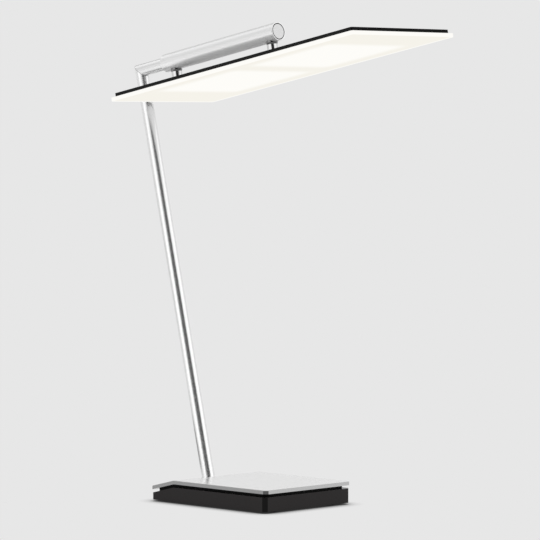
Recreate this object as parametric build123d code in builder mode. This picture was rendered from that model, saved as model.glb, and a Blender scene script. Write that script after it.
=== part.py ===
"""Desk lamp: a wide flat light panel under a sleeve that turns on a raised arm, on a leaning stem.

Lengths are millimetres. The origin is on the desk under the middle of the base. +X points forward
along the arm, +Y to the far side and +Z up.
"""

import os
from math import atan2, cos, radians, sin, tan

from build123d import *

# Base block, shadow gap and bent top plate
base_length = 149.5
base_width = 110.0
corner_cut = 3.5
plate_overhang = 1.0
foot_height = 1.5
body_height = 13.0
shadow_gap = 3.0
plate_thickness = 3.3
rear_run = 31.4
rear_drop = 7.5
bend_radius = 14.0
edge_break = 0.4
neck_inset = 4.6
neck_width = 7.4
body_wall = 4.0
body_skin = 2.6
cavity_corner_radius = 3.0
cover_thickness = 1.5
cover_gap = 0.2
foot_pad_radius = 7.0
foot_pad_inset = (13.5, 18.5)

# Screws
screw_radius = 1.5
screw_head_radius = 2.7
screw_head_height = 1.8
plate_screw_grip = 2.0
plate_screw_from_bend = 8.0
boss_radius = 3.6
cover_screw_length = 3.4
front_boss_inset = (14.5, 17.5)
rear_boss_inset = (11.5, 13.5)

# Weight, driver and inlet inside the base
weight_front_gap = 2.0
weight_top_gap = 0.9
weight_corner_radius = 4.0
weight_board_gap = 2.5
boss_clearance = 0.6
board_length = 26.0
board_thickness = 1.6
board_from_bend = 22.5
board_inlet_gap = 6.0
board_pad_height = 1.4
board_pad_radius = 2.5
coil_size = (14.0, 18.0, 4.6)
coil_place_share = 0.27
cell_radius = 2.2
cell_height = 4.4
cell_gap = 4.6
chip_size = (6.0, 8.0, 1.6)
inlet_body = (9.0, 6.4, 7.4)
inlet_radius = 3.4
inlet_socket_radius = 2.75
inlet_socket_depth = 8.0
inlet_pin_radius = 1.0
inlet_set_back = 0.3

# Stem and the swivel at its foot
tube_radius = 6.0
tube_wall = 1.5
stem_length = 385.5
foot_behind_bend = 11.1
foot_clearance = 0.3
journal_radius = 4.0
running_fit = 0.05
slip_fit = 0.05
bush_wall = 1.2
socket_flange_radius = 10.0
socket_barrel_radius = 6.6
socket_depth = 9.6
barrel_clearance = 0.8
thrust_gap = 0.1
washer_thickness = 0.8
washer_radius = 6.4
nut_height = 2.6
nut_across_flats = 12.0
spigot_reach = 26.0
socket_screw_ring_radius = 8.3
socket_screw_radius = 0.9
socket_screw_grip = 1.5
socket_screw_head_radius = 1.5
socket_screw_head_height = 1.1

# Mitred corner, arm and the sleeve that turns on it
arm_rise = 10.4
mitre_seam = 0.3
core_reach = 24.0
sleeve_wall = 1.0
sleeve_bush_wall = 1.45
sleeve_start = 34.8
sleeve_end = 183.0
bush_length = 12.0
stop_bush_gap = 10.0
stop_plate_length = 2.0
stop_side_gap = 0.9
stop_depth = 4.0
stop_hub_radius = 2.4
stop_lug_angle = 20.0
roll_each_way = 70.0
stop_spare_angle = 3.0
stop_face_gap = 0.4
stop_switch_gap = 6.6
collar_bore_radius = 3.0
switch_length = 6.0
switch_set_back = 3.6
plunger_radius = 2.0
plunger_bore_depth = 4.6
plunger_end_gap = 1.4
button_gap = 0.6
button_thickness = 2.0

# Light panel and its posts
panel_start = 26.0
panel_length = 302.5
panel_width = 124.0
panel_drop = 27.0
carrier_thickness = 3.7
carrier_corner = 1.5
diffuser_thickness = 3.4
diffuser_overhang = 3.0
diffuser_corner = 2.0
tile_size = 97.0
tile_gap = 21.5
tile_shift = 4.5
tile_thickness = 1.8
tile_pocket_gap = 0.2
strip_width = 12.0
strip_length = 92.0
strip_thickness = 1.0
post_radius = 4.9
rear_post_inset = 11.8
front_post_inset = 10.0
saddle_radius = 5.4
saddle_height = 1.6
post_screw_radius = 2.0
post_screw_head_radius = 3.8
post_screw_head_height = 1.9
post_screw_length = 8.0

# Levels and planes that follow from the sizes above
front_x = base_length / 2
half_width = base_width / 2
bend_x = rear_run - front_x
slope = atan2(rear_drop, rear_run)
body_top = foot_height + body_height
plate_low = body_top + shadow_gap
plate_top = plate_low + plate_thickness
cover_top = foot_height + cover_thickness
skin_low = body_top - body_skin
body_length = base_length - 2 * plate_overhang
cavity_length = body_length - 2 * body_wall
cavity_width = base_width - 2 * body_wall
plate_screw_inset = neck_inset + neck_width / 2
board_center_x = bend_x + board_from_bend
board_width = cavity_width - 2 * (inlet_body[1] + board_inlet_gap)
bore_radius = tube_radius - tube_wall
bush_radius = journal_radius + running_fit + bush_wall
sleeve_bore = tube_radius + running_fit + sleeve_bush_wall
sleeve_radius = sleeve_bore + sleeve_wall
switch_front = sleeve_end - switch_set_back
arm_reach = switch_front - switch_length - stop_switch_gap - stop_depth - stop_plate_length
stop_plate_radius = sleeve_bore - stop_side_gap

stem_axis = Vector(-sin(slope), 0, cos(slope))
foot_point = Vector(bend_x - foot_behind_bend, 0, plate_top - foot_behind_bend * tan(slope))
foot_plane = Plane(origin=foot_point, x_dir=(cos(slope), 0, sin(slope)), z_dir=stem_axis)
plate_under = plate_thickness * cos(slope)
socket_seat = (plate_thickness + shadow_gap) * cos(slope)

rise = radians(arm_rise)
arm_axis = Vector(cos(rise), 0, sin(rise))
head_up = Vector(-sin(rise), 0, cos(rise))
corner = foot_point + stem_axis * stem_length
arm_plane = Plane(origin=corner, x_dir=(0, 1, 0), z_dir=arm_axis)
head_plane = Plane(origin=corner, x_dir=arm_axis, z_dir=head_up)
mitre_plane = Plane(origin=corner, x_dir=(0, 1, 0), z_dir=stem_axis + arm_axis)
panel_plane = Plane(
    origin=corner + arm_axis * (panel_start + panel_length / 2), x_dir=arm_axis, z_dir=head_up
)


STANDING = (Align.CENTER, Align.CENTER, Align.MIN)


def falling(level):
    """Side line at a level: flat over the front, then down along the rear slope past the end."""
    past_end = rear_run + body_wall
    return [
        (front_x + body_wall, level),
        (bend_x, level),
        (bend_x - past_end, level - past_end * tan(slope)),
    ]


def level_line(level):
    """Side line at a level that stays flat over the whole length."""
    return [(front_x + body_wall, level), (-front_x - body_wall, level)]


def side_face(low_line, high_line):
    """Face between two side lines, standing in the middle plane of the lamp."""
    with BuildSketch(Plane.XZ) as side:
        with BuildLine():
            Polyline(*low_line, *reversed(high_line), close=True)
        make_face()
    return side.sketch


def cut_corners(plane, length, width):
    """Rectangle on a plane with its four corners cut off flat."""
    with BuildSketch(plane) as plan:
        Rectangle(length, width)
        chamfer(plan.vertices(), length=corner_cut)
    return plan.sketch


def both_sides(*spots):
    """Each spot and its mirror image across the middle plane."""
    return [(x, side * y) for x, y in spots for side in (-1, 1)]


def rim_of(faces):
    """Edges that only one of the given faces has, so seams between the faces are left out."""
    edges = [edge for face in faces for edge in face.edges()]
    return ShapeList([edge for edge in edges if edges.count(edge) == 1])


def ring(plane, outer_radius, inner_radius):
    """Flat ring on a plane."""
    with BuildSketch(plane) as flat:
        Circle(outer_radius)
        Circle(inner_radius, mode=Mode.SUBTRACT)
    return flat.sketch


def sector(plane, outer_radius, half_angle):
    """Slice of a disc, centred on the plane's x axis."""
    with BuildSketch(plane) as slice_face:
        with BuildLine():
            arc = CenterArc((0, 0), outer_radius, -half_angle, 2 * half_angle)
            Line((0, 0), arc @ 0)
            Line(arc @ 1, (0, 0))
        make_face()
    return slice_face.sketch


plate_screw_y = half_width - plate_screw_inset
plate_screw_spots = both_sides(
    (front_x - plate_screw_inset, plate_screw_y), (bend_x + plate_screw_from_bend, plate_screw_y)
)
boss_spots = both_sides(
    (front_x - front_boss_inset[0], half_width - front_boss_inset[1]),
    (rear_boss_inset[0] - front_x, half_width - rear_boss_inset[1]),
)
foot_pad_spots = both_sides(
    (front_x - foot_pad_inset[0], half_width - foot_pad_inset[1]),
    (foot_pad_inset[0] - front_x, half_width - foot_pad_inset[1]),
)
board_pad_x = board_length / 2 - board_pad_radius
board_pad_y = board_width / 2 - board_pad_radius
board_pad_spots = both_sides(
    (board_center_x - board_pad_x, board_pad_y), (board_center_x + board_pad_x, board_pad_y)
)

# The top plate is one sheet, bent down behind the stem, with a hole square to the slope for the bush.
plate_side = side_face(falling(plate_low), falling(plate_top))
with BuildPart() as base_plate:
    plate_plan = cut_corners(Plane.XY.offset(plate_low - rear_drop), base_length, base_width)
    extrude(plate_plan, amount=rear_drop + plate_thickness)
    extrude(plate_side, amount=half_width, both=True, mode=Mode.INTERSECT)
    cross_edges = base_plate.edges().filter_by(Axis.Y)
    folds = cross_edges.filter_by_position(Axis.X, bend_x - edge_break, bend_x + edge_break)
    fillet(folds.sort_by(Axis.Z)[-1], radius=bend_radius)
    tops = [face for face in base_plate.faces() if face.normal_at().Z > cos(2 * slope)]
    chamfer(rim_of(tops), length=edge_break)
    with BuildSketch(foot_plane.offset(edge_break)):
        Circle(bush_radius)
    extrude(amount=-(plate_thickness + 2 * edge_break), mode=Mode.SUBTRACT)
    with BuildSketch(Plane.XY.offset(plate_low)):
        with Locations(*plate_screw_spots):
            Circle(screw_radius)
    extrude(amount=plate_screw_grip, mode=Mode.SUBTRACT)
    with BuildSketch(foot_plane.offset(-plate_under)):
        with PolarLocations(socket_screw_ring_radius, 3):
            Circle(socket_screw_radius)
    extrude(amount=socket_screw_grip, mode=Mode.SUBTRACT)

# A set-back frame holds the plate off the block and makes the dark gap all round.
neck_side = side_face(falling(body_top), falling(plate_low))
with BuildPart() as neck_frame:
    neck_low = Plane.XY.offset(body_top - rear_drop)
    inner_inset = neck_inset + neck_width
    neck_plan = cut_corners(neck_low, base_length - 2 * neck_inset, base_width - 2 * neck_inset)
    window_plan = cut_corners(neck_low, base_length - 2 * inner_inset, base_width - 2 * inner_inset)
    extrude(neck_plan, amount=rear_drop + shadow_gap)
    extrude(window_plan, amount=rear_drop + shadow_gap, mode=Mode.SUBTRACT)
    extrude(neck_side, amount=half_width, both=True, mode=Mode.INTERSECT)
    with BuildSketch(Plane.XY.offset(body_top)):
        with Locations(*plate_screw_spots):
            Circle(screw_radius)
    extrude(amount=shadow_gap, mode=Mode.SUBTRACT)
    with BuildSketch(foot_plane):
        Circle(socket_flange_radius + boss_clearance)
    extrude(amount=-socket_depth, mode=Mode.SUBTRACT)

# The block is a heavy shell, open below, whose skin follows the same slope.
body_side = side_face(level_line(foot_height), falling(body_top))
cavity_side = side_face(level_line(foot_height), falling(skin_low))
with BuildPart() as cavity:
    with BuildSketch(Plane.XY.offset(foot_height)):
        RectangleRounded(cavity_length, cavity_width, cavity_corner_radius)
    extrude(amount=body_height)
    extrude(cavity_side, amount=half_width, both=True, mode=Mode.INTERSECT)

with BuildPart() as bosses:
    with BuildSketch(Plane.XY.offset(cover_top)):
        with Locations(*boss_spots):
            Circle(boss_radius)
    extrude(amount=body_height)
    extrude(cavity_side, amount=half_width, both=True, mode=Mode.INTERSECT)

with BuildPart() as base_body:
    extrude(cut_corners(Plane.XY.offset(foot_height), body_length, base_width), amount=body_height)
    extrude(body_side, amount=half_width, both=True, mode=Mode.INTERSECT)
    add(cavity.part, mode=Mode.SUBTRACT)
    add(bosses.part)
    with BuildSketch(Plane.XY.offset(cover_top)):
        with Locations(*boss_spots):
            Circle(screw_radius)
    extrude(amount=cover_screw_length, mode=Mode.SUBTRACT)
    with BuildSketch(Plane.XY.offset(skin_low)):
        with Locations(*plate_screw_spots):
            Circle(screw_radius)
    extrude(amount=body_skin, mode=Mode.SUBTRACT)
    with BuildSketch(foot_plane.offset(-socket_seat)):
        Circle(socket_barrel_radius + barrel_clearance)
    extrude(amount=-(body_skin + edge_break), mode=Mode.SUBTRACT)
    inlet_z = (cover_top + skin_low) / 2
    inlet_plane = Plane(origin=(board_center_x, half_width, inlet_z), x_dir=(1, 0, 0), z_dir=(0, 1, 0))
    with BuildSketch(inlet_plane):
        Circle(inlet_radius)
    extrude(amount=-body_wall, mode=Mode.SUBTRACT)

# The cover closes the block from below and carries the pads and the driver.
with BuildPart() as bottom_cover:
    with BuildSketch(Plane.XY.offset(foot_height)):
        RectangleRounded(cavity_length, cavity_width, cavity_corner_radius)
        offset(amount=-cover_gap, mode=Mode.REPLACE)
    extrude(amount=cover_thickness)
    with BuildSketch(Plane.XY.offset(cover_top)):
        with Locations(*board_pad_spots):
            Circle(board_pad_radius)
    extrude(amount=board_pad_height)
    with Locations(Plane.XY.offset(foot_height)):
        with Locations(*boss_spots):
            Cylinder(screw_radius, cover_thickness, align=STANDING, mode=Mode.SUBTRACT)
            Cone(
                screw_head_radius,
                screw_radius,
                screw_head_radius - screw_radius,
                align=STANDING,
                mode=Mode.SUBTRACT,
            )

with BuildPart() as foot_pads:
    with BuildSketch():
        with Locations((0, 0), *foot_pad_spots):
            Circle(foot_pad_radius)
    extrude(amount=foot_height)
    chamfer(foot_pads.edges().group_by(Axis.Z)[0], length=edge_break)

with BuildPart() as cover_screws:
    with BuildSketch(Plane.XY.offset(foot_height)):
        with Locations(*boss_spots):
            Circle(screw_radius)
    extrude(amount=cover_thickness + cover_screw_length)
    with Locations(Plane.XY.offset(foot_height)):
        with Locations(*boss_spots):
            Cone(screw_head_radius, screw_radius, screw_head_radius - screw_radius, align=STANDING)

with BuildPart() as plate_screws:
    with BuildSketch(Plane.XY.offset(skin_low)):
        with Locations(*plate_screw_spots):
            Circle(screw_radius)
    extrude(amount=body_skin + shadow_gap + plate_screw_grip)
    with BuildSketch(Plane.XY.offset(skin_low)):
        with Locations(*plate_screw_spots):
            Circle(screw_head_radius)
            RegularPolygon(screw_radius, 6, mode=Mode.SUBTRACT)
    extrude(amount=-screw_head_height)

# A steel slab on the cover keeps the lamp upright. It is cut out round the front bosses.
weight_front = front_x - plate_overhang - body_wall - weight_front_gap
weight_rear = board_center_x + board_length / 2 + weight_board_gap
weight_half_width = plate_screw_y - screw_head_radius - boss_clearance
with BuildPart() as weight:
    with BuildSketch(Plane.XY.offset(cover_top)):
        with Locations(((weight_front + weight_rear) / 2, 0)):
            RectangleRounded(weight_front - weight_rear, 2 * weight_half_width, weight_corner_radius)
        with Locations(*boss_spots):
            Circle(boss_radius + boss_clearance, mode=Mode.SUBTRACT)
    extrude(amount=skin_low - weight_top_gap - cover_top)
    chamfer(weight.faces().sort_by(Axis.Z)[-1].outer_wire().edges(), length=edge_break)

# The driver board stands on the cover's pads with its coils, cells and chips.
board_low = cover_top + board_pad_height
board_top = board_low + board_thickness
coil_y = coil_place_share * board_width
cell_pitch = 2 * cell_radius + cell_gap
with BuildPart() as driver_board:
    with BuildSketch(Plane.XY.offset(board_low)):
        with Locations((board_center_x, 0)):
            Rectangle(board_length, board_width)
    extrude(amount=board_thickness)
    with BuildSketch(Plane.XY.offset(board_top)):
        with Locations((board_center_x, -coil_y)):
            RectangleRounded(coil_size[0], coil_size[1], edge_break)
    extrude(amount=coil_size[2])
    with BuildSketch(Plane.XY.offset(board_top)):
        with Locations((board_center_x, coil_y)):
            with GridLocations(cell_pitch, cell_pitch, 2, 2):
                Circle(cell_radius)
    extrude(amount=cell_height)
    with BuildSketch(Plane.XY.offset(board_top)):
        with Locations((board_center_x, 0)):
            Rectangle(chip_size[0], chip_size[1])
    extrude(amount=chip_size[2])

with BuildPart() as power_inlet:
    with BuildSketch(inlet_plane.offset(-body_wall)):
        Rectangle(inlet_body[0], inlet_body[2])
    extrude(amount=-inlet_body[1])
    with BuildSketch(inlet_plane.offset(-body_wall)):
        Circle(inlet_radius)
    extrude(amount=body_wall - inlet_set_back)
    with BuildSketch(inlet_plane.offset(-inlet_set_back)):
        Circle(inlet_socket_radius)
        Circle(inlet_pin_radius, mode=Mode.SUBTRACT)
    extrude(amount=-inlet_socket_depth, mode=Mode.SUBTRACT)

# Swivel at the stem's foot, square to the slope: socket, bush, spigot, washer and nut on one axis.
with BuildPart() as foot_socket:
    flange = ring(foot_plane.offset(-plate_under), socket_flange_radius, bush_radius)
    extrude(flange, amount=plate_under - socket_seat)
    barrel = ring(foot_plane.offset(-socket_seat), socket_barrel_radius, bush_radius)
    extrude(barrel, amount=socket_seat - socket_depth)
    with BuildSketch(foot_plane.offset(-plate_under)):
        with PolarLocations(socket_screw_ring_radius, 3):
            Circle(socket_screw_radius)
    extrude(amount=plate_under - socket_seat, mode=Mode.SUBTRACT)
    with BuildSketch(foot_plane.offset(-socket_seat)):
        with PolarLocations(socket_screw_ring_radius, 3):
            Circle(socket_screw_head_radius)
    extrude(amount=socket_screw_head_height, mode=Mode.SUBTRACT)

with BuildPart() as socket_screws:
    with BuildSketch(foot_plane.offset(-plate_under + socket_screw_grip)):
        with PolarLocations(socket_screw_ring_radius, 3):
            Circle(socket_screw_radius)
    extrude(amount=plate_under - socket_seat - socket_screw_grip)
    with BuildSketch(foot_plane.offset(-socket_seat)):
        with PolarLocations(socket_screw_ring_radius, 3):
            Circle(socket_screw_head_radius)
    extrude(amount=socket_screw_head_height)

with BuildPart() as swivel_bush:
    extrude(ring(foot_plane, bush_radius, journal_radius + running_fit), amount=-socket_depth)

washer_top = socket_depth + thrust_gap
nut_top = washer_top + washer_thickness
nut_low = nut_top + nut_height
with BuildPart() as foot_spigot:
    with BuildSketch(foot_plane.offset(-nut_low)):
        Circle(journal_radius)
    extrude(amount=nut_low + foot_clearance)
    with BuildSketch(foot_plane.offset(foot_clearance)):
        Circle(bore_radius - slip_fit)
    extrude(amount=spigot_reach)
    chamfer(foot_spigot.edges().sort_by(Axis.Z)[0], length=edge_break)

with BuildPart() as friction_washer:
    extrude(ring(foot_plane.offset(-washer_top), washer_radius, journal_radius), amount=-washer_thickness)

with BuildPart() as swivel_nut:
    with BuildSketch(foot_plane.offset(-nut_top)):
        RegularPolygon(nut_across_flats / 2, 6, major_radius=False)
        Circle(journal_radius, mode=Mode.SUBTRACT)
    extrude(amount=-nut_height)

# Stem and arm are one tube size, cut at half the corner angle with a fine seam over a solid core.
with BuildPart() as stem_tube:
    stem_ring = ring(foot_plane.offset(foot_clearance), tube_radius, bore_radius)
    extrude(stem_ring, amount=stem_length + 2 * tube_radius)
    split(bisect_by=mitre_plane.offset(-mitre_seam / 2), keep=Keep.BOTTOM)

with BuildPart() as arm_tube:
    arm_ring = ring(arm_plane.offset(-2 * tube_radius), tube_radius, bore_radius)
    extrude(arm_ring, amount=arm_reach + 2 * tube_radius)
    split(bisect_by=mitre_plane.offset(mitre_seam / 2), keep=Keep.TOP)

with BuildPart() as core_arm_half:
    with BuildSketch(arm_plane.offset(-2 * tube_radius)):
        Circle(bore_radius - slip_fit)
    extrude(amount=core_reach + 2 * tube_radius)
    split(bisect_by=mitre_plane, keep=Keep.TOP)

with BuildPart() as corner_core:
    with BuildSketch(foot_plane.offset(stem_length - core_reach)):
        Circle(bore_radius - slip_fit)
    extrude(amount=core_reach + 2 * tube_radius)
    split(bisect_by=mitre_plane, keep=Keep.BOTTOM)
    add(core_arm_half.part)

# The arm ends in a stop lug. A collar in the sleeve meets it at each end of the panel's roll.
stop_plane = arm_plane.offset(arm_reach)
lug_plane = stop_plane.offset(stop_plate_length)
with BuildPart() as roll_stop:
    with BuildSketch(stop_plane):
        Circle(bore_radius - slip_fit)
    extrude(amount=-core_reach)
    with BuildSketch(stop_plane):
        Circle(stop_plate_radius)
    extrude(amount=stop_plate_length)
    extrude(sector(lug_plane, stop_plate_radius, stop_lug_angle / 2), amount=stop_depth)
    with BuildSketch(lug_plane):
        Circle(stop_hub_radius)
    extrude(amount=stop_depth)

collar_half_angle = 180 - stop_lug_angle / 2 - roll_each_way - stop_spare_angle
collar_plane = Plane(
    origin=lug_plane.origin + arm_axis * stop_face_gap, x_dir=(0, -1, 0), z_dir=arm_axis
)
with BuildPart() as roll_collar:
    extrude(sector(collar_plane, sleeve_bore, collar_half_angle), amount=stop_depth)
    with BuildSketch(collar_plane):
        Circle(collar_bore_radius)
    extrude(amount=stop_depth, mode=Mode.SUBTRACT)

# The sleeve turns on two bushes and carries the switch at its front end.
with BuildPart() as head_sleeve:
    sleeve_ring = ring(arm_plane.offset(sleeve_start), sleeve_radius, sleeve_bore)
    extrude(sleeve_ring, amount=sleeve_end - sleeve_start)
    chamfer(head_sleeve.edges().filter_by(GeomType.CIRCLE), length=edge_break / 2)

with BuildPart() as sleeve_bushes:
    for bush_start in (sleeve_start + edge_break, arm_reach - stop_bush_gap - bush_length):
        bush_ring = ring(arm_plane.offset(bush_start), sleeve_bore, tube_radius + running_fit)
        extrude(bush_ring, amount=bush_length)

with BuildPart() as switch_unit:
    with BuildSketch(arm_plane.offset(switch_front)):
        Circle(sleeve_bore)
    extrude(amount=-switch_length)
    with BuildSketch(arm_plane.offset(switch_front)):
        Circle(plunger_radius + running_fit)
    extrude(amount=-plunger_bore_depth, mode=Mode.SUBTRACT)

button_back = sleeve_end - button_thickness
with BuildPart() as button:
    with BuildSketch(arm_plane.offset(button_back)):
        Circle(sleeve_bore - button_gap)
    extrude(amount=button_thickness)
    fillet(button.edges().filter_by(GeomType.CIRCLE).sort_by(Axis.X)[-1], radius=edge_break)
    with BuildSketch(arm_plane.offset(button_back)):
        Circle(plunger_radius)
    extrude(amount=-(button_back - switch_front + plunger_bore_depth - plunger_end_gap))

# Two posts hang the panel from the sleeve, each under a saddle cut to the sleeve's curve.
carrier_top = -panel_drop
post_spots = [(sleeve_start + rear_post_inset, 0), (sleeve_end - front_post_inset, 0)]
with BuildPart() as sleeve_space:
    with BuildSketch(arm_plane.offset(sleeve_start)):
        Circle(sleeve_radius)
    extrude(amount=sleeve_end - sleeve_start + 2 * sleeve_radius)

with BuildPart() as posts:
    with BuildSketch(head_plane.offset(carrier_top)):
        with Locations(*post_spots):
            Circle(post_radius)
    extrude(amount=panel_drop - sleeve_radius - saddle_height)
    with BuildSketch(head_plane.offset(carrier_top)):
        with Locations(*post_spots):
            Circle(post_screw_radius)
    extrude(amount=post_screw_length - carrier_thickness, mode=Mode.SUBTRACT)

with BuildPart() as saddles:
    with Locations(head_plane.offset(-sleeve_radius - saddle_height)):
        with Locations(*post_spots):
            Cone(post_radius, saddle_radius, saddle_height, align=STANDING)
    with BuildSketch(head_plane.offset(-sleeve_radius)):
        with Locations(*post_spots):
            Circle(saddle_radius)
    extrude(amount=sleeve_radius / 2)
    add(sleeve_space.part, mode=Mode.SUBTRACT)

with BuildPart() as post_screws:
    with BuildSketch(head_plane.offset(carrier_top - carrier_thickness)):
        with Locations(*post_spots):
            Circle(post_screw_radius)
    extrude(amount=post_screw_length)
    with Locations(head_plane.offset(carrier_top - carrier_thickness)):
        with Locations(*post_spots):
            Cone(post_screw_head_radius, post_screw_radius, post_screw_head_height, align=STANDING)

# The panel: a thin black carrier over a larger glowing plate with two light tiles let into it.
carrier_low = carrier_top - carrier_thickness
tile_pitch = tile_size + tile_gap
tile_plane = Plane(
    origin=panel_plane.origin + arm_axis * tile_shift + head_up * carrier_low, x_dir=arm_axis, z_dir=head_up
)
with BuildPart() as panel_carrier:
    with BuildSketch(panel_plane.offset(carrier_low)):
        RectangleRounded(panel_length, panel_width, carrier_corner)
    extrude(amount=carrier_thickness)
    with Locations(head_plane.offset(carrier_low)):
        with Locations(*post_spots):
            Cylinder(post_screw_radius, carrier_thickness, align=STANDING, mode=Mode.SUBTRACT)
            Cone(
                post_screw_head_radius,
                post_screw_radius,
                post_screw_head_height,
                align=STANDING,
                mode=Mode.SUBTRACT,
            )

with BuildPart() as diffuser:
    with BuildSketch(panel_plane.offset(carrier_low)):
        RectangleRounded(
            panel_length + 2 * diffuser_overhang, panel_width + 2 * diffuser_overhang, diffuser_corner
        )
    extrude(amount=-diffuser_thickness)
    with BuildSketch(tile_plane):
        with GridLocations(tile_pitch, 0, 2, 1):
            Rectangle(tile_size + 2 * tile_pocket_gap, tile_size + 2 * tile_pocket_gap)
    extrude(amount=-tile_thickness, mode=Mode.SUBTRACT)
    with BuildSketch(tile_plane):
        Rectangle(strip_width + 2 * tile_pocket_gap, strip_length + 2 * tile_pocket_gap)
    extrude(amount=-strip_thickness, mode=Mode.SUBTRACT)

with BuildPart() as light_tiles:
    with BuildSketch(tile_plane):
        with GridLocations(tile_pitch, 0, 2, 1):
            Rectangle(tile_size, tile_size)
    extrude(amount=-tile_thickness)

with BuildPart() as contact_strip:
    with BuildSketch(tile_plane):
        Rectangle(strip_width, strip_length)
    extrude(amount=-strip_thickness)

nodes = {
    "base_plate": base_plate,
    "neck_frame": neck_frame,
    "base_body": base_body,
    "bottom_cover": bottom_cover,
    "foot_pads": foot_pads,
    "cover_screws": cover_screws,
    "plate_screws": plate_screws,
    "weight": weight,
    "driver_board": driver_board,
    "power_inlet": power_inlet,
    "foot_socket": foot_socket,
    "socket_screws": socket_screws,
    "swivel_bush": swivel_bush,
    "foot_spigot": foot_spigot,
    "friction_washer": friction_washer,
    "swivel_nut": swivel_nut,
    "stem_tube": stem_tube,
    "corner_core": corner_core,
    "arm_tube": arm_tube,
    "roll_stop": roll_stop,
    "roll_collar": roll_collar,
    "head_sleeve": head_sleeve,
    "sleeve_bushes": sleeve_bushes,
    "switch_unit": switch_unit,
    "button": button,
    "posts": posts,
    "saddles": saddles,
    "post_screws": post_screws,
    "panel_carrier": panel_carrier,
    "diffuser": diffuser,
    "light_tiles": light_tiles,
    "contact_strip": contact_strip,
}
os.makedirs("parts", exist_ok=True)
for name, node in nodes.items():
    node.part.label = name
    export_step(node.part, f"parts/{name}.step")
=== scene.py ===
"""Looks of the desk lamp: bright and satin metal, a black block and a glowing panel in a pale studio."""
import math

import bpy
from mathutils import Matrix, Vector

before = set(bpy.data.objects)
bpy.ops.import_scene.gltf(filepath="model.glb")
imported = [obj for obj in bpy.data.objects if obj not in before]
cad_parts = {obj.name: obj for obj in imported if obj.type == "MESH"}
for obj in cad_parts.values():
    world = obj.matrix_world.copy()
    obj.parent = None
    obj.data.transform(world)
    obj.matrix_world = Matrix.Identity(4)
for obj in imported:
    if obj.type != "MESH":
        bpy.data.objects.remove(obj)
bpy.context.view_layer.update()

# Camera, fitted to the photograph
CAMERA_AT = Vector((2.10362, -2.08719, 0.34364))
CAMERA_LOOKS = Vector((-0.704914, 0.707888, -0.044631))
CAMERA_LENS = 218.495
CAMERA_SENSOR = 36.0
CAMERA_REACH = 200.0

# Directions of the arm and the panel
ARM_RISE = math.radians(10.4)
ALONG = Vector((math.cos(ARM_RISE), 0.0, math.sin(ARM_RISE)))
ACROSS = Vector((0.0, 1.0, 0.0))
PANEL_UP = Vector((-math.sin(ARM_RISE), 0.0, math.cos(ARM_RISE)))

# Metals: the way their grain is drawn out, and the scale, strength and depth of it
LENGTHWISE = (0.05, 1.0, 1.0)
UPWARD = (1.0, 1.0, 0.05)
GRAIN_SCALE, GRAIN_STRENGTH, GRAIN_DEPTH = 900.0, 0.1, 0.00002

# Coatings: the scale, strength and depth of their texture, and the swing of their colour either way
COAT_SCALE, COAT_STRENGTH, COAT_DEPTH = 1400.0, 0.05, 0.0002
COAT_SWING = 0.08
DEEP_BLACK = (0.002, 0.002, 0.002)

# Shares of a face's normal over which it comes to count as upright, or as looking one way
UPRIGHT = (0.35, 0.6)
LOOKING = (0.8, 0.95)


# Node helpers
def material(name):
    """New material with an empty node tree."""
    mat = bpy.data.materials.new(name)
    mat.use_nodes = True
    mat.node_tree.nodes.clear()
    return mat


def opaque(colour):
    """Opaque colour from a grey or from three channels."""
    return (*colour, 1.0) if isinstance(colour, tuple) else (colour, colour, colour, 1.0)


def add(tree, kind, **values):
    """Node of a kind, with its sockets and settings set by name."""
    node = tree.nodes.new(kind)
    for key, value in values.items():
        if key in node.inputs:
            node.inputs[key].default_value = value
        else:
            setattr(node, key, value)
    return node


def math_node(tree, operation, first, second=None):
    """Output of a math node on sockets or numbers."""
    node = add(tree, "ShaderNodeMath", operation=operation)
    for socket, value in zip(node.inputs, (first, second)):
        if isinstance(value, (int, float)):
            socket.default_value = value
        elif value is not None:
            tree.links.new(value, socket)
    return node.outputs[0]


def spread(tree, source, low, high, to_low, to_high, smooth=False):
    """Output of a map from one span of numbers to another, held at both ends."""
    node = tree.nodes.new("ShaderNodeMapRange")
    node.interpolation_type = "SMOOTHSTEP" if smooth else "LINEAR"
    for key, value in (("From Min", low), ("From Max", high), ("To Min", to_low), ("To Max", to_high)):
        node.inputs[key].default_value = value
    tree.links.new(source, node.inputs["Value"])
    return node.outputs["Result"]


def ramp(tree, source, *stops):
    """Colour output of a ramp whose stops are greys or colours."""
    node = tree.nodes.new("ShaderNodeValToRGB")
    elements = node.color_ramp.elements
    while len(elements) < len(stops):
        elements.new(0.5)
    for element, (place, value) in zip(elements, stops):
        element.position = place
        element.color = opaque(value)
    tree.links.new(source, node.inputs["Fac"])
    return node.outputs["Color"]


def blend(tree, factor, first, second, kind="MIX"):
    """Colour output of a mix of two colours, sockets or plain."""
    node = add(tree, "ShaderNodeMix", data_type="RGBA", blend_type=kind)
    for name, value in (("Factor", factor), ("A", first), ("B", second)):
        socket = next(s for s in node.inputs if s.name == name and s.enabled)
        if isinstance(value, bpy.types.NodeSocket):
            tree.links.new(value, socket)
        else:
            socket.default_value = value
    return next(s for s in node.outputs if s.enabled)


def dot(tree, source, direction):
    """Number output of a vector's share along a direction."""
    node = add(tree, "ShaderNodeVectorMath", operation="DOT_PRODUCT")
    node.inputs[1].default_value = direction
    tree.links.new(source, node.inputs[0])
    return node.outputs["Value"]


def coordinate(tree, kind):
    """Output of one kind of texture coordinate."""
    return tree.nodes.new("ShaderNodeTexCoord").outputs[kind]


def roughen(tree, shader, height, strength, depth):
    """Fine relief on the surface of a shader."""
    relief = add(tree, "ShaderNodeBump", Strength=strength, Distance=depth)
    tree.links.new(height, relief.inputs["Height"])
    tree.links.new(relief.outputs["Normal"], shader.inputs["Normal"])


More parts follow.
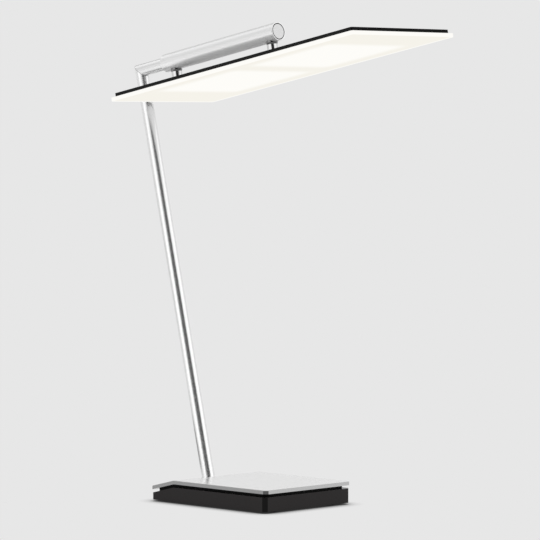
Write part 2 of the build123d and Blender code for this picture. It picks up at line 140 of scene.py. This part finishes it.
def surface(mat, shader):
    """Link a shader node to the surface of a material."""
    out = mat.node_tree.nodes.new("ShaderNodeOutputMaterial")
    mat.node_tree.links.new(shader.outputs[0], out.inputs["Surface"])
    return mat


def emit(mat, colour):
    """Let a material shine with the colour of a socket."""
    emission = mat.node_tree.nodes.new("ShaderNodeEmission")
    mat.node_tree.links.new(colour, emission.inputs["Color"])
    return surface(mat, emission)


# Finishes
def metal(name, colour, roughness, grain=0.02, stretch=(1.0, 1.0, 1.0), metallic=1.0):
    """Metal with a fine stretched grain in its roughness and relief."""
    mat = material(name)
    tree = mat.node_tree
    mapping = add(tree, "ShaderNodeMapping", Scale=stretch)
    tree.links.new(coordinate(tree, "Object"), mapping.inputs["Vector"])
    noise = add(tree, "ShaderNodeTexNoise", Scale=GRAIN_SCALE, Detail=3.0)
    tree.links.new(mapping.outputs["Vector"], noise.inputs["Vector"])
    shader = add(tree, "ShaderNodeBsdfPrincipled", Metallic=metallic)
    shader.inputs["Base Color"].default_value = opaque(colour)
    rough = spread(tree, noise.outputs["Fac"], 0.0, 1.0, roughness - grain, roughness + grain)
    tree.links.new(rough, shader.inputs["Roughness"])
    roughen(tree, shader, noise.outputs["Fac"], GRAIN_STRENGTH, GRAIN_DEPTH)
    return surface(mat, shader)


def coating(name, colour, roughness, specular=0.5):
    """Paint, plastic or rubber with a fine texture in its colour and relief."""
    mat = material(name)
    tree = mat.node_tree
    noise = add(tree, "ShaderNodeTexNoise", Scale=COAT_SCALE, Detail=2.0)
    tree.links.new(coordinate(tree, "Object"), noise.inputs["Vector"])
    darker = tuple(c * (1 - COAT_SWING) for c in colour)
    lighter = tuple(c * (1 + COAT_SWING) for c in colour)
    tint = ramp(tree, noise.outputs["Fac"], (0.35, darker), (0.65, lighter))
    shader = add(tree, "ShaderNodeBsdfPrincipled", Roughness=roughness)
    shader.inputs["Specular IOR Level"].default_value = specular
    tree.links.new(tint, shader.inputs["Base Color"])
    roughen(tree, shader, noise.outputs["Fac"], COAT_STRENGTH, COAT_DEPTH)
    return surface(mat, shader)


def base_colour(mat):
    """Colour socket of a material's main shader."""
    shader = next(node for node in mat.node_tree.nodes if node.type == "BSDF_PRINCIPLED")
    return shader.inputs["Base Color"]


def face_turn(tree):
    """How far a face looks along X and along Y, whichever way round."""
    normal = coordinate(tree, "Normal")
    return [math_node(tree, "ABSOLUTE", dot(tree, normal, axis)) for axis in ((1, 0, 0), (0, 1, 0))]


def corner_shade(tree, toward_x, toward_y, corner_share):
    """Painted shade: one on faces that look along X or Y, falling to a share on the cut corners between
    them.
    """
    return spread(tree, math_node(tree, "MULTIPLY", toward_x, toward_y), 0.0, 0.5, 1.0, corner_share)


def painted_edge_shade(mat, side_tone, end_tone, corner_share):
    """Painted shade on the upright faces of a metal: a tone on the sides, one on the ends, darker at the cut
    corners.
    """
    tree = mat.node_tree
    colour = base_colour(mat)
    toward_x, toward_y = face_turn(tree)
    tone = spread(tree, math_node(tree, "SUBTRACT", toward_x, toward_y), -1.0, 1.0, side_tone, end_tone)
    corner = corner_shade(tree, toward_x, toward_y, corner_share)
    standing = spread(tree, math_node(tree, "MAXIMUM", toward_x, toward_y), *UPRIGHT, 0.0, 1.0)
    mixed = blend(tree, standing, tuple(colour.default_value), math_node(tree, "MULTIPLY", tone, corner))
    tree.links.new(mixed, colour)


def painted_corner_shade(mat, corner_share):
    """Painted shade: darker cut corners for a coating."""
    tree = mat.node_tree
    colour = base_colour(mat)
    tint = colour.links[0].from_socket
    corner = corner_shade(tree, *face_turn(tree), corner_share)
    tree.links.new(blend(tree, 1.0, tint, corner, "MULTIPLY"), colour)


def painted_face_light(mat, direction, tone):
    """Painted light: a grey of its own for the faces of a coating that look one way."""
    tree = mat.node_tree
    colour = base_colour(mat)
    tint = colour.links[0].from_socket
    turned = spread(tree, dot(tree, coordinate(tree, "Normal"), direction), *LOOKING, 0.0, 1.0)
    tree.links.new(blend(tree, turned, tint, opaque(tone)), colour)


def dress(mat, *nodes):
    """Give CAD nodes their material."""
    for name in nodes:
        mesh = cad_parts[name].data
        mesh.materials.clear()
        mesh.materials.append(mat)


# Pieces with painted light and shade: tones of their own on some faces
plate = metal("satin_plate", 0.84, roughness=0.20, grain=0.03, stretch=LENGTHWISE, metallic=0.55)
# Painted shade: the plate's upright faces are darker than its top, the long sides most, and the cut corners
# darkest.
painted_edge_shade(plate, side_tone=0.325, end_tone=0.54, corner_share=0.22)
dress(plate, "base_plate")

black = coating("black_body", (0.0215, 0.0195, 0.0195), roughness=0.22, specular=0.1)
# Painted shade: the black body's cut corners are darker.
painted_corner_shade(black, corner_share=0.2)
dress(black, "base_body")

panel_black = coating("black_panel", DEEP_BLACK, roughness=0.30, specular=0.05)
# Painted light on the panel: its top is a light grey, and its long sides are a touch lighter than its black
# ends.
painted_face_light(panel_black, ACROSS, tone=0.012)
painted_face_light(panel_black, -ACROSS, tone=0.012)
painted_face_light(panel_black, PANEL_UP, tone=0.43)
dress(panel_black, "panel_carrier")

# Plain metals
dress(metal("bright_tube", 0.90, roughness=0.25, stretch=UPWARD), "stem_tube", "arm_tube")
dress(metal("satin_sleeve", 0.92, roughness=0.34, grain=0.03, stretch=LENGTHWISE), "head_sleeve")
dress(metal("button_face", 0.655, roughness=0.28), "button")
dress(metal("polished_post", 0.75, roughness=0.06), "posts")
# Painted reflection: the saddles' dark grey stands in for the dark reflection they show under the sleeve.
dress(metal("dark_saddle", 0.22, roughness=0.08), "saddles")
dress(metal("steel", 0.45, roughness=0.35),
      "bottom_cover", "weight", "foot_socket", "foot_spigot", "friction_washer", "swivel_nut")
dress(metal("screw_steel", 0.36, roughness=0.30),
      "cover_screws", "plate_screws", "socket_screws", "post_screws")
dress(metal("alloy_core", 0.55, roughness=0.35), "corner_core", "roll_stop")
dress(metal("brass", (0.70, 0.55, 0.28), roughness=0.25), "swivel_bush")

# Plain coatings
dress(coating("black_neck", DEEP_BLACK, roughness=0.6, specular=0.1), "neck_frame")
dress(coating("bush_plastic", (0.03, 0.03, 0.03), roughness=0.4),
      "sleeve_bushes", "roll_collar", "switch_unit", "power_inlet")
dress(coating("pad_rubber", (0.02, 0.02, 0.02), roughness=0.8), "foot_pads")
dress(coating("board", (0.03, 0.16, 0.07), roughness=0.4), "driver_board", "contact_strip")

# Glowing plate
TILE_HALF = 0.0485  # half the side of a light square
TILE_OFFSET = 0.05925  # from the middle of the pair to the middle of a square
TILE_SHIFT = 0.0045  # the pair lies this far forward
TILE_ACROSS = -0.002  # and this far to the near side
TILE_SOFT = 0.008
RIM_ALONG, RIM_ALONG_SHIFT = 0.0019, 0.0011  # mean width of the white edges, and shift of the area inside
RIM_ACROSS, RIM_ACROSS_SHIFT = 0.0022, -0.0010
RIM_SOFT = 0.0004
CREAM = (0.917, 0.893, 0.826)
WHITE = (0.988, 0.976, 0.94)
MIRRORED = 0.70


def span(node, direction):
    """Middle and half length of a CAD node along a direction."""
    reach = [v.co.dot(direction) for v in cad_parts[node].data.vertices]
    return (min(reach) + max(reach)) / 2, (max(reach) - min(reach)) / 2


def within(tree, source, middle, half, soft):
    """One within a half width of the middle, falling to zero over a soft edge."""
    off = math_node(tree, "ABSOLUTE", math_node(tree, "SUBTRACT", source, middle))
    return spread(tree, off, half - soft, half + soft, 1.0, 0.0, smooth=True)


def glow_plate():
    """Cream, with two soft white squares over the light tiles and white edges. Plain grey in reflections."""
    mat = material("glow_plate")
    tree = mat.node_tree
    place = coordinate(tree, "Object")
    along, across = dot(tree, place, ALONG), dot(tree, place, ACROSS)
    mid_along, half_along = span("diffuser", ALONG)
    mid_across, half_across = span("diffuser", ACROSS)
    tile_middles = [mid_along + TILE_SHIFT + side * TILE_OFFSET for side in (-1, 1)]
    tiles = [within(tree, along, middle, TILE_HALF, TILE_SOFT) for middle in tile_middles]
    tile_row = within(tree, across, mid_across + TILE_ACROSS, TILE_HALF, TILE_SOFT)
    lit = math_node(tree, "MULTIPLY", math_node(tree, "ADD", *tiles), tile_row)
    inner_along = within(tree, along, mid_along + RIM_ALONG_SHIFT, half_along - RIM_ALONG, RIM_SOFT)
    inner_across = within(tree, across, mid_across + RIM_ACROSS_SHIFT, half_across - RIM_ACROSS, RIM_SOFT)
    rim = math_node(tree, "SUBTRACT", 1.0, math_node(tree, "MULTIPLY", inner_along, inner_across))
    tint = ramp(tree, math_node(tree, "MAXIMUM", lit, rim), (0.0, CREAM), (1.0, WHITE))
    path = tree.nodes.new("ShaderNodeLightPath")
    return emit(mat, blend(tree, path.outputs["Is Glossy Ray"], tint, opaque(MIRRORED)))


dress(glow_plate(), "diffuser", "light_tiles")

# Floor
PAPER = 0.799  # linear value of the pale background
FLOOR_SIZE = 60.0
CONTACT_REACH = 0.016
CONTACT_SHADE = ((0.0, 0.02), (0.5, 0.30 * PAPER), (0.8, 0.82 * PAPER), (1.0, PAPER))


def paper_floor():
    """Evenly pale, darker only close to what stands on it: a painted contact shadow."""
    mat = material("paper")
    tree = mat.node_tree
    near = add(tree, "ShaderNodeAmbientOcclusion", Distance=CONTACT_REACH, samples=16)
    return emit(mat, ramp(tree, near.outputs["AO"], *CONTACT_SHADE))


bpy.ops.mesh.primitive_plane_add(size=FLOOR_SIZE)
floor = bpy.context.object
floor.name = "floor"
floor.data.materials.append(paper_floor())

# Cards that show only in reflections
CARD_RADIUS = 4.0
CARD_LEVELS = (0.02, 3.5)
CARD_STEPS = 24
FLOOR_CARD_LEVEL = 0.001
facing = Vector((-CAMERA_LOOKS.x, -CAMERA_LOOKS.y, 0.0)).normalized()


def only_mirrored(sheet):
    """Hide a card from the camera, diffuse rays and shadows, so that it shows in reflections alone."""
    sheet.visible_camera = sheet.visible_diffuse = sheet.visible_shadow = False


def card(name, bearings, value, top=None, levels=CARD_LEVELS, lean=(0.0, 0.0), radius=CARD_RADIUS):
    """Curved card between two bearings, in degrees counter-clockwise from the camera's side.

    The ends of its upper edge may lean away from those below, and its value may run to another at the top.
    """
    low, high = levels
    upper = [bearing + turn for bearing, turn in zip(bearings, lean)]
    points = []
    for i in range(CARD_STEPS + 1):
        for level, (left, right) in ((low, bearings), (high, upper)):
            turn = Matrix.Rotation(math.radians(left + (right - left) * i / CARD_STEPS), 3, "Z")
            points.append(turn @ facing * radius + Vector((0, 0, level)))
    faces = [(2 * i, 2 * i + 1, 2 * i + 3, 2 * i + 2) for i in range(CARD_STEPS)]
    mesh = bpy.data.meshes.new(name)
    mesh.from_pydata(points, [], faces)
    mat = material(name)
    tree = mat.node_tree
    shader = add(tree, "ShaderNodeEmission", Color=opaque(1.0), Strength=value)
    if top is not None:
        height = dot(tree, coordinate(tree, "Object"), (0, 0, 1))
        tree.links.new(spread(tree, height, low, high, value, top), shader.inputs["Strength"])
    mesh.materials.append(surface(mat, shader))
    sheet = bpy.data.objects.new(name, mesh)
    bpy.context.collection.objects.link(sheet)
    only_mirrored(sheet)


def floor_card(name, middle, size, value, turn=0.0, level=FLOOR_CARD_LEVEL):
    """Card lying on the floor, turned by some degrees."""
    turned = (0.0, 0.0, math.radians(turn))
    bpy.ops.mesh.primitive_plane_add(size=1.0, location=(*middle, level), rotation=turned)
    sheet = bpy.context.object
    sheet.name = name
    sheet.scale = (*size, 1.0)
    mat = material(name)
    shader = add(mat.node_tree, "ShaderNodeEmission", Color=opaque(1.0), Strength=value)
    sheet.data.materials.append(surface(mat, shader))
    only_mirrored(sheet)


# Behind the camera and to each side of it, for the stripe and the bands on the stem and posts
card("dark_card", (-40.2, 54.6), value=0.0, top=0.07, levels=(0.4, 3.0), lean=(52.0, -41.6), radius=3.9)
card("left_card", (-78.0, -20.0), value=1.40, top=0.40)
card("right_card", (40.0, 104.0), value=1.33, top=0.90)
# Further round, for the soft bands along the sleeve
card("low_left_card", (-112.0, -88.0), value=0.71, levels=(0.9, 2.6))
card("high_left_card", (-165.0, -118.0), value=1.0, levels=(2.4, 4.5))
card("back_card", (145.0, 215.0), value=0.56, levels=(1.5, 5.0))
# On the floor: two to the left as the camera sees it, and one behind the lamp
floor_card("front_card", (-0.72, -1.08), (1.6, 0.6), value=1.15, turn=47.0)
floor_card("side_card", (-2.9, -1.45), (3.4, 1.2), value=0.55, turn=27.0, level=FLOOR_CARD_LEVEL / 2)
floor_card("rear_card", (-0.36, 0.10), (0.30, 0.60), value=0.28)


# World
def studio_world():
    """Pale paper to the camera and in reflections, and plain even light on everything else."""
    world = bpy.data.worlds.new("studio")
    world.use_nodes = True
    tree = world.node_tree
    tree.nodes.clear()
    path = tree.nodes.new("ShaderNodeLightPath")
    through = math_node(tree, "MAXIMUM", path.outputs["Is Glossy Ray"], path.outputs["Is Transmission Ray"])
    seen = math_node(tree, "MAXIMUM", path.outputs["Is Camera Ray"], through)
    light = add(tree, "ShaderNodeBackground", Color=opaque(1.0))
    tree.links.new(spread(tree, seen, 0.0, 1.0, 1.0, PAPER), light.inputs["Strength"])
    out = tree.nodes.new("ShaderNodeOutputWorld")
    tree.links.new(light.outputs[0], out.inputs["Surface"])
    return world


bpy.context.scene.world = studio_world()

# Camera
camera = bpy.data.objects.new("camera", bpy.data.cameras.new("camera"))
camera.data.sensor_width = CAMERA_SENSOR
camera.data.lens = CAMERA_LENS
camera.data.clip_end = CAMERA_REACH
camera.location = CAMERA_AT
camera.rotation_euler = CAMERA_LOOKS.to_track_quat("-Z", "Y").to_euler()
bpy.context.collection.objects.link(camera)
bpy.context.scene.camera = camera
bpy.context.scene.view_settings.view_transform = "Standard"
